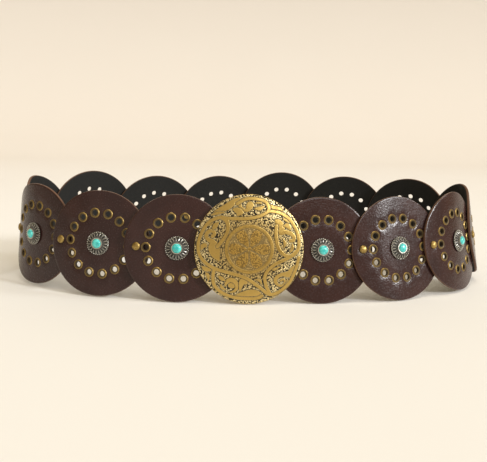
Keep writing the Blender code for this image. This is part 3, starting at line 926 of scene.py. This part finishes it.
buckle = {
    "radius": 40.15,
    "thickness": 1.8,
    "dome": 3.6,
    "lift": 0.6,
    "fitGap": 0.3,
    "bandWidth": 2.3,
    "bandHeight": 0.12,
    "scrollHeight": 0.10,
    "slope": 0.24,
    "ringRadius": 16.7,
    "ringWidth": 2.3,
    "pinRadius": 1.1,
    "pinSides": 12,
    "pinRoot": 0.3,  # how deep a pin starts inside the plate
    "hookReach": 8.0,
    # In tenths of a millimetre: (x, y) along each band, and (x, y, half width)
    # along each scroll or leaf.
    "bands": (
        ((-154, 161), (-165, 205), (-210, 230), (-303, 186), (-364, 75), (-370, -19),
         (-334, -87), (-253, -143), (-148, -173), (-24, -211), (70, -273), (150, -330),
         (225, -309), (300, -238), (344, -143), (365, -60)),
        ((-92, 330), (-24, 366), (70, 364), (126, 336), (136, 280), (70, 240), (-24, 222),
         (-148, 222), (-210, 230)),
        ((136, 280), (222, 266), (296, 217), (346, 137), (364, 62), (356, -6), (312, -48),
         (256, -39), (212, 12), (194, 100), (196, 170)),
        ((356, -6), (287, -62), (198, -104), (139, -152), (115, -205), (126, -267), (156, -328)),
        ((-253, -143), (-263, -205), (-251, -268), (-191, -323), (-105, -354), (-10, -362),
         (60, -359), (96, -342)),
        ((-210, 230), (-174, 206), (-158, 166), (-162, 124), (-182, 82), (-210, 46), (-234, 16)),
    ),
    "scrolls": (
        ((-218, -90, 2), (-244, -42, 29), (-257, 2, 41), (-266, 46, 21), (-302, 69, 14),
         (-315, 98, 14), (-299, 124, 13), (-270, 131, 13), (-254, 109, 12), (-270, 90, 11)),
        ((-264, 146, 8), (-249, 169, 17), (-228, 190, 4)),
        ((-302, 166, 3), (-284, 180, 10), (-264, 196, 3)),
        ((-362, -12, 3), (-342, 16, 16), (-319, 30, 9), (-314, 8, 3)),
        ((-262, 266, 3), (-211, 286, 18), (-160, 310, 24), (-115, 344, 20), (-79, 366, 10)),
        ((-280, 246, 3), (-233, 260, 10), (-186, 267, 4)),
        ((3, 322, 26), (-5, 304, 23), (-20, 282, 11), (-49, 288, 12), (-70, 310, 11),
         (-69, 336, 11), (-50, 356, 7)),
        ((-116, 288, 9), (-86, 279, 22), (-59, 265, 13), (-84, 252, 12)),
        ((36, 296, 4), (72, 296, 14), (106, 314, 4)),
        ((40, 334, 3), (66, 340, 8), (90, 334, 3)),
        ((152, 322, 5), (180, 302, 15), (215, 299, 12), (244, 284, 3)),
        ((188, 216, 3), (213, 193, 24), (235, 156, 23), (226, 120, 14), (262, 126, 15),
         (302, 117, 15), (326, 92, 13), (322, 66, 12), (300, 64, 12)),
        ((254, 172, 6), (280, 172, 18), (296, 148, 8)),
        ((244, 224, 3), (266, 214, 9), (288, 196, 3)),
        ((316, 38, 5), (315, 6, 11), (300, -22, 3)),
        ((246, 76, 3), (260, 44, 10), (254, 12, 3)),
        ((349, -108, 3), (329, -145, 23), (293, -180, 23), (246, -183, 13), (209, -199, 13),
         (193, -227, 13), (209, -258, 10), (242, -266, 8), (266, -244, 8), (254, -219, 7),
         (232, -229, 7)),
        ((282, -220, 3), (278, -252, 9), (246, -286, 3)),
        ((-138, -266, 15), (-120, -264, 22)),
        ((-172, -270, 4), (-160, -238, 14), (-130, -225, 16), (-99, -242, 15), (-87, -276, 12),
         (-104, -306, 9), (-136, -316, 4)),
        ((-66, -310, 3), (-60, -268, 14), (-48, -234, 21), (-24, -244, 13)),
        ((-222, -196, 3), (-202, -215, 14), (-174, -232, 3)),
        ((-208, -260, 3), (-196, -282, 10), (-170, -298, 3)),
        ((-106, -346, 6), (-49, -332, 19), (12, -321, 25), (62, -326, 22), (100, -349, 4)),
        ((-344, -128, 3), (-319, -147, 16), (-286, -154, 10)),
        ((-316, -176, 4), (-300, -194, 12), (-294, -232, 3)),
        ((144, -132, 2), (180, -146, 9), (224, -128, 3)),
        ((46, -220, 2), (76, -228, 9), (94, -256, 3)),
    ),
    # Rings of points of the plate, and the number of points of the outermost.
    "frontRings": 64,
    "frontSides": 760,
    # The back from the rim inwards: distance from the rim, height (None follows
    # the dome) and number of points.
    "backRings": (
        (0.06, 1.65, 760), (0.0, 1.25, 760), (0.0, 0.35, 760), (0.3, 0.0, 760),
        (1.0, 0.05, 360), (2.2, None, 180), (8.0, None, 90), (17.0, None, 60),
        (27.0, None, 40), (36.15, None, 20),
    ),
    # The medallion's petals: share of its radius, and half width.
    "petals": 6,
    "petal": ((0.14, 0.5), (0.34, 2.0), (0.56, 3.6), (0.74, 3.9), (0.90, 1.2)),
    "lobeHeight": 0.05,
    "lineAt": 0.30,  # dark outlines, measured outwards from an edge
    "lineWidth": 0.24,
    "veinAt": 0.7,  # the engraved line round inside the ring
    "veinWidth": 0.16,
}

buckleRadius = buckle["radius"]


def domeHeight(radius):
    share = np.minimum(radius / buckleRadius, 1.0)
    return buckle["dome"] * (1 - share**2.4)


def smoothPath(path, steps=8):
    # A curve through all given rows, whatever number of columns they have.
    rows = np.array(path, float)
    ends = np.vstack([2 * rows[0] - rows[1], rows, 2 * rows[-1] - rows[-2]])
    made = []
    for k in range(1, len(ends) - 2):
        a, b, c, d = ends[k - 1 : k + 3]
        square, cube = 2 * a - 5 * b + 4 * c - d, 3 * b - a - 3 * c + d
        for t in np.arange(steps) / steps:
            made.append(0.5 * (2 * b + (c - a) * t + square * t**2 + cube * t**3))
    made.append(rows[-1])
    return np.array(made)


def strokeDepth(x, y, path):
    # How far inside a stroke of changing width each point is; negative outside.
    depth = np.full(len(x), -9.0)
    for first, second in zip(path[:-1], path[1:]):
        run = second[:2] - first[:2]
        length = max(float(run @ run), 1e-9)
        reach = max(first[2], second[2]) + 1.2
        low = np.minimum(first[:2], second[:2]) - reach
        high = np.maximum(first[:2], second[:2]) + reach
        near = np.nonzero((x > low[0]) & (x < high[0]) & (y > low[1]) & (y < high[1]))[0]
        u, v = x[near] - first[0], y[near] - first[1]
        t = np.clip((u * run[0] + v * run[1]) / length, 0, 1)
        gap = np.hypot(u - t * run[0], v - t * run[1])
        depth[near] = np.maximum(depth[near], first[2] + t * (second[2] - first[2]) - gap)
    return depth


def soften(value, low, high):
    return ease((value - low) / (high - low))


def buckleRelief(x, y):
    # Height over the dome, then how raised and how outlined each point is.
    radius = np.hypot(x, y)
    half = buckle["bandWidth"] / 2
    inner = buckle["ringRadius"] - buckle["ringWidth"] / 2
    petals = 1.5 - radius
    for k in range(buckle["petals"]):
        angle = 2 * math.pi * k / buckle["petals"]
        c, s = inner * math.cos(angle), inner * math.sin(angle)
        row = [(share * c, share * s, width) for share, width in buckle["petal"]]
        petals = np.maximum(petals, strokeDepth(x, y, smoothPath(row, 4)))
    bands = buckle["ringWidth"] / 2 - np.abs(radius - buckle["ringRadius"])
    for band in buckle["bands"]:
        path = smoothPath([(a / 10, b / 10, half) for a, b in band])
        bands = np.maximum(bands, strokeDepth(x, y, path))
    layers = [(petals, "lobeHeight", 0.7)]
    for scroll in buckle["scrolls"]:
        path = smoothPath(np.array(scroll) / 10)
        layers.append((strokeDepth(x, y, path), "scrollHeight", 0.95))
    layers.append((bands, "bandHeight", 1.0))
    # Each layer lies over the ones before it, and a dark line runs round it.
    edge = buckle["slope"] / 2
    height, raised, outlined = (np.zeros(len(x)) for _ in range(3))
    for depth, rise, share in layers:
        inside = soften(depth, -edge, edge)
        line = np.exp(-(((depth + buckle["lineAt"]) / buckle["lineWidth"]) ** 2))
        height = np.maximum(height * (1 - line), inside * buckle[rise])
        raised = np.maximum(raised * (1 - line), inside * share)
        outlined = np.maximum(outlined * (1 - inside), line)
    fromVein = radius - buckle["ringRadius"] + buckle["veinAt"]
    vein = np.exp(-((fromVein / buckle["veinWidth"]) ** 2))
    return height, raised, np.maximum(outlined, vein * 0.6)


def ringPoints(radius, sides):
    turns = 2 * math.pi * np.arange(sides) / sides
    return np.stack([radius * np.cos(turns), radius * np.sin(turns)], 1)


def bridge(outer, inner):
    # Faces between two rings round the same centre, seen from the front.
    a, b = len(outer), len(inner)
    if a == b:
        return list(zip(outer, outer[1:] + outer[:1], inner[1:] + inner[:1], inner))
    made = []
    i = j = 0
    while i < a or j < b:
        if j >= b or (i < a and (i + 0.5) / a <= (j + 0.5) / b):
            made.append((outer[i % a], outer[(i + 1) % a], inner[j % b]))
            i += 1
        else:
            made.append((outer[i % a], inner[(j + 1) % b], inner[j % b]))
            j += 1
    return made


def ringList():
    # Radius and number of points of the front's rings, finest at the rim.
    count = buckle["frontRings"]
    step = buckleRadius / 2 / count
    radius, sides = buckleRadius - 0.35, buckle["frontSides"]
    rings = [(radius - number * step, sides) for number in range(count - 1)]
    radius -= (count - 1) * step
    while radius > 0.6:
        sides = max(sides // 2, 12)
        size = max(2 * math.pi * radius / sides, step)
        for _ in range(max(int(radius / 2 / size), 1)):
            rings.append((radius, sides))
            radius -= size
        if sides == 12:
            break
    return rings


def buckleFrame():
    off = thickness + leather["layerGap"] + buckle["fitGap"] / 1000
    lean = math.radians(loop["buckleLean"])
    low = discRadius + off * math.sin(lean) - buckleRadius / 1000 * math.cos(lean)
    height = (buckle["lift"] / 1000 - low) / math.cos(lean)
    return frameOf(lambda a, b: wallPoints(a, b, off), 0.0, height)


def tube(path, radius, sides):
    # A closed round bar along a path.
    points, faces, before = [], [], None
    path = [Vector(p) for p in path]
    for number, centre in enumerate(path):
        ahead = path[min(number + 1, len(path) - 1)] - path[max(number - 1, 0)]
        side = Vector((1.0, 0.0, 0.0))
        other = ahead.normalized().cross(side).normalized()
        ring = [len(points) + k for k in range(sides)]
        shrink = 0.8 if number in (0, len(path) - 1) else 1.0
        for k in range(sides):
            t = 2 * math.pi * k / sides
            points.append(centre + (side * math.cos(t) + other * math.sin(t)) * radius * shrink)
        faces += joinRings(ring, before) if before else [tuple(reversed(ring))]
        before = ring
    faces.append(tuple(before))
    return np.array([tuple(p) for p in points]), faces


def pinPaths(spot):
    # The hook and the stud, soldered on behind, each at an eyelet.
    feet = []
    for disc, number in ((discCount - 1, leather["eyeletCount"] // 2), (0, 0)):
        u, h = eyeletPlaces(disc)[number]
        feet.append((spot.inverted() @ Vector(discPoints(disc, u, h, 0.0))) * 1000)
    hook, stud = feet
    roots = [float(domeHeight(np.array(p.xy.length))) + buckle["pinRoot"] for p in feet]
    r = buckle["pinRadius"]
    low = hook.z - 0.3 - 2 * r
    bends = ((0.0, roots[0]), (0.0, hook.z + 0.6), (-0.3, low + 0.9), (-1.2, low + 0.1),
             (-2.8, low - 0.1), (-buckle["hookReach"], low - 0.1))
    levels = (roots[1], stud.z, stud.z - 0.3 - 1.4 * r)
    return [(hook.x, hook.y + y, z) for y, z in bends], [(stud.x, stud.y, z) for z in levels]


def makeBuckle():
    spot = buckleFrame()
    flats, rings, faces = [], [], []
    count = 0
    for radius, sides in ringList():
        flats.append(ringPoints(radius, sides))
        rings.append(list(range(count, count + sides)))
        count += sides
    flats.append(np.zeros((1, 2)))
    flat = np.concatenate(flats)
    relief, raised, outlined = buckleRelief(flat[:, 0], flat[:, 1])
    radius = np.hypot(*flat.T)
    front = buckle["thickness"] + domeHeight(radius) + relief
    points = [np.column_stack([flat, front])]
    for outer, inner in zip(rings[:-1], rings[1:]):
        faces += bridge(outer, inner)
    last = rings[-1]
    faces += [(last[k], last[(k + 1) % len(last)], count) for k in range(len(last))]
    count += 1
    # The rounded edge and the hollow back.
    before = rings[0]
    for inset, height, sides in buckle["backRings"]:
        reach = buckleRadius - inset
        if height is None:
            height = float(domeHeight(np.array(reach)))
        points.append(np.column_stack([ringPoints(reach, sides), np.full(sides, height)]))
        after = list(range(count, count + sides))
        count += sides
        faces += bridge(after, before)
        before = after
    points.append(np.array([[0.0, 0.0, buckle["dome"]]]))
    faces += [(before[(k + 1) % len(before)], before[k], count) for k in range(len(before))]
    count += 1
    for path in pinPaths(spot):
        more, moreFaces = tube(path, buckle["pinRadius"], buckle["pinSides"])
        first = sum(len(part) for part in points)
        faces += [tuple(first + k for k in face) for face in moreFaces]
        points.append(more)
    points = np.concatenate(points)
    # What the finish goes by: hollows, outlines, the middle and what lies round it.
    middle = buckle["ringRadius"]
    medallion = 1 - 0.6 * soften(radius, middle - 1.7, middle - 1.1)
    medallion *= 1 - soften(radius, middle + 1.0, middle + 7.0)
    looks = {
        "hollow": 1 - raised,
        "outlined": outlined,
        "medallion": medallion,
        "outskirts": soften(radius, middle + 3.0, buckleRadius - 6.0),
    }
    plain = np.zeros(len(points) - len(radius))
    looks = {name: np.concatenate([values, plain]) for name, values in looks.items()}
    looks["hollow"][len(radius) : count] = 0.25
    looks["hollow"][count:] = 0.15
    world = np.array(spot)
    placed = points / 1000 @ world[:3, :3].T + world[:3, 3]
    piece = meshPiece("buckle_plate", placed, faces, buckleGold, 40.0, **looks)
    dress(piece, "antique_gold", "buckle")
    return spot


goldFinish = {
    "clean": rgb(194, 163, 93),
    "medallion": rgb(194, 158, 84),
    "punched": rgb(234, 214, 160),
    "dark": rgb(40, 31, 17),
    "darkOutskirts": rgb(20, 19, 18),
    "grainScale": 920.0,
    "hatchScale": 950.0,
    "darkening": 0.14,
    "patchSize": 160.0,
    "rough": (0.26, 0.40),
    "relief": 0.00010,
}


def buildBuckleGold():
    look = goldFinish
    material, shader, place = newMaterial("agedGold", look["clean"])
    names = ("hollow", "outlined", "medallion", "outskirts")
    hollow, outlined, medallion, outskirts = (attribute(shader, name) for name in names)
    # The ground is punched: small bright grains on a dark field.
    bent = bend(place, noise(place, 700.0, 1.0), 0.0007)
    grains = cells(bent, look["grainScale"])["Distance"]
    low = spread(hollow, 0.35, 0.8)
    ground = times(low, spread(grains, 0.47, 0.55))
    # The middle is engraved less deeply, and fine hatching crosses it.
    ground = times(ground, spread(medallion, 0.0, 1.0, 1.0, 0.7))
    hatch = cells(bent, look["hatchScale"])["Distance"]
    hatched = times(spread(hatch, 0.47, 0.58), times(medallion, 0.68))
    drawn = calc("MAXIMUM", ground, hatched)
    drawn = calc("MAXIMUM", drawn, times(outlined, 0.95))
    darkened, wear = metalEffects(place, look, drawn)
    bright = mixColour(medallion, look["clean"], look["medallion"])
    pale = times(low, spread(outskirts, 0.0, 1.0, 0.3, 1.0))
    bright = mixColour(pale, bright, look["punched"])
    dark = mixColour(outskirts, look["dark"], look["darkOutskirts"])
    dull = spread(darkened["Mask"], 0.0, 1.0, 0.0, 0.25)
    height = calc("MULTIPLY_ADD", wear["Height"], 0.15, times(drawn, -1.0))
    fill(shader, {
        "Base Color": mixColour(darkened["Mask"], bright, dark),
        "Roughness": plus(wear["Roughness"], dull),
        "Metallic": spread(darkened["Mask"], 0.3, 1.0, 1.0, 0.4),
        "Specular IOR Level": 0.3,
        "Normal": bump(height, 0.45, look["relief"]),
    })
    return material


buckleGold = buildBuckleGold()
buckleSpot = makeBuckle()
print("buckle made")


studCap = {
    "sides": 32,
    "lift": 0.0006,  # from the middle of the part's cap
    "profile": (
        (0.0, -0.00085), (0.0021, -0.0011), (0.0031, -0.0012), (0.0034, -0.0009),
        (0.0035, -0.0002), (0.0034, 0.0), (0.0, 0.0),
    ),
}


def makeStudCap():
    mesh = turnedMesh("studCap", studCap["sides"], studCap["profile"], agedBrass)
    low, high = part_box("stud_cap")
    spot = buckleSpot.copy()
    spot.translation = (low + high) / 2
    spot = spot @ Matrix.Translation((0.0, 0.0, studCap["lift"]))
    placeCopy("stud_screw_cap", mesh, spot, "brass", "stud_cap", 50.0)


makeStudCap()
print("stud cap made")


# Floor, light and camera.

studio = {
    "paper": rgb(237, 237, 236),
    "paperFarShaded": rgb(213, 207, 199),  # painted shade where it turns up to face the lamps
    "width": 5.0,
    "front": -2.5,
    "back": 1.6,
    "curve": 0.8,
    "curveSteps": 16,
    "height": 2.6,
    "sky": (1.0, 0.76, 0.42, 1.0),
    "skyStrength": 0.36,
    # Broad far lights: azimuth (0 in front of the belt, 90 at its right), height,
    # width, strength and colour.
    "lamps": {
        "sideLight": (83.0, 31.0, 13.0, 0.66, (0.98, 0.99, 1.0)),
        "windowLight": (56.0, 22.0, 9.0, 2.05, (0.98, 0.99, 1.0)),
        "frontLight": (21.0, 31.0, 13.0, 0.50, (0.98, 0.99, 1.0)),
        "fillLight": (-24.0, 24.0, 50.0, 0.18, (1.0, 1.0, 1.0)),
        "topLight": (20.0, 82.0, 40.0, 1.02, (1.0, 0.915, 0.76)),
    },
}


def makeFloor():
    line = [(studio["front"], 0.0), (studio["back"], 0.0)]
    for k in range(1, studio["curveSteps"] + 1):
        t = k / studio["curveSteps"] * math.pi / 2
        y = studio["back"] + studio["curve"] * math.sin(t)
        line.append((y, studio["curve"] * (1 - math.cos(t))))
    line.append((line[-1][0], studio["height"]))
    points = [(side * studio["width"], y, z) for y, z in line for side in (-1, 1)]
    faces = [(2 * k, 2 * k + 1, 2 * k + 3, 2 * k + 2) for k in range(len(line) - 1)]
    material, shader, place = newMaterial("paperSweep", studio["paper"])
    cloud = spread(noise(place, 1.5, 2.0)[0], 0.3, 0.7, -0.03, 0.03)
    depth = nextNode("ShaderNodeSeparateXYZ", {0: place})[1]
    # Painted shade: the paper darkens towards the back and up the sweep.
    far = plus(spread(depth, 0.15, studio["back"] + 0.3), cloud)
    colour = mixColour(far, studio["paper"], studio["paperFarShaded"])
    fill(shader, {"Base Color": colour, "Roughness": 0.9})
    floor = meshPiece("paper_sweep", points, faces, material, 60.0)


def makeSun(name, azimuth, elevation, width, strength, colour):
    lamp = bpy.data.lights.new(name, "SUN")
    lamp.angle = math.radians(width)
    lamp.energy = strength
    lamp.color = colour
    holder = bpy.data.objects.new(name, lamp)
    aim = aimAt(-azimuth, elevation)
    holder.rotation_euler = aim.to_track_quat("-Z", "Y").to_euler()
    bpy.context.scene.collection.objects.link(holder)


def makeWorld():
    world = bpy.data.worlds.new("studio")
    world.use_nodes = True
    background = world.node_tree.nodes["Background"]
    background.inputs["Color"].default_value = studio["sky"]
    background.inputs["Strength"].default_value = studio["skyStrength"]
    bpy.context.scene.world = world


view = {
    "place": (-0.0426, -0.5960, 0.13466),
    "yaw": 3.422,
    "pitch": 9.112,
    "roll": -1.151,
    "lens": 51.745,
}


def aimAt(yaw, pitch):
    # A direction in degrees from the way back, turned to the right and down.
    yaw, pitch = math.radians(yaw), math.radians(pitch)
    flat = math.cos(pitch)
    return Vector((flat * math.sin(yaw), flat * math.cos(yaw), -math.sin(pitch)))


def makeCamera():
    forward = aimAt(view["yaw"], view["pitch"])
    yaw, roll = math.radians(view["yaw"]), math.radians(view["roll"])
    right = Vector((math.cos(yaw), -math.sin(yaw), 0.0))
    upward = right.cross(forward)
    x = right * math.cos(roll) - upward * math.sin(roll)
    y = right * math.sin(roll) + upward * math.cos(roll)
    camera = bpy.data.cameras.new("camera")
    camera.lens = view["lens"]
    camera.sensor_width = 36.0
    camera.clip_start = 0.01
    holder = bpy.data.objects.new("camera", camera)
    axes = Matrix((x, y, -forward)).transposed().to_4x4()
    holder.matrix_world = Matrix.Translation(view["place"]) @ axes
    bpy.context.scene.collection.objects.link(holder)
    bpy.context.scene.camera = holder


makeFloor()
for name, lamp in studio["lamps"].items():
    makeSun(name, *lamp)
makeWorld()
makeCamera()
bpy.context.scene.view_settings.view_transform = "Standard"
print("floor, light and camera placed")
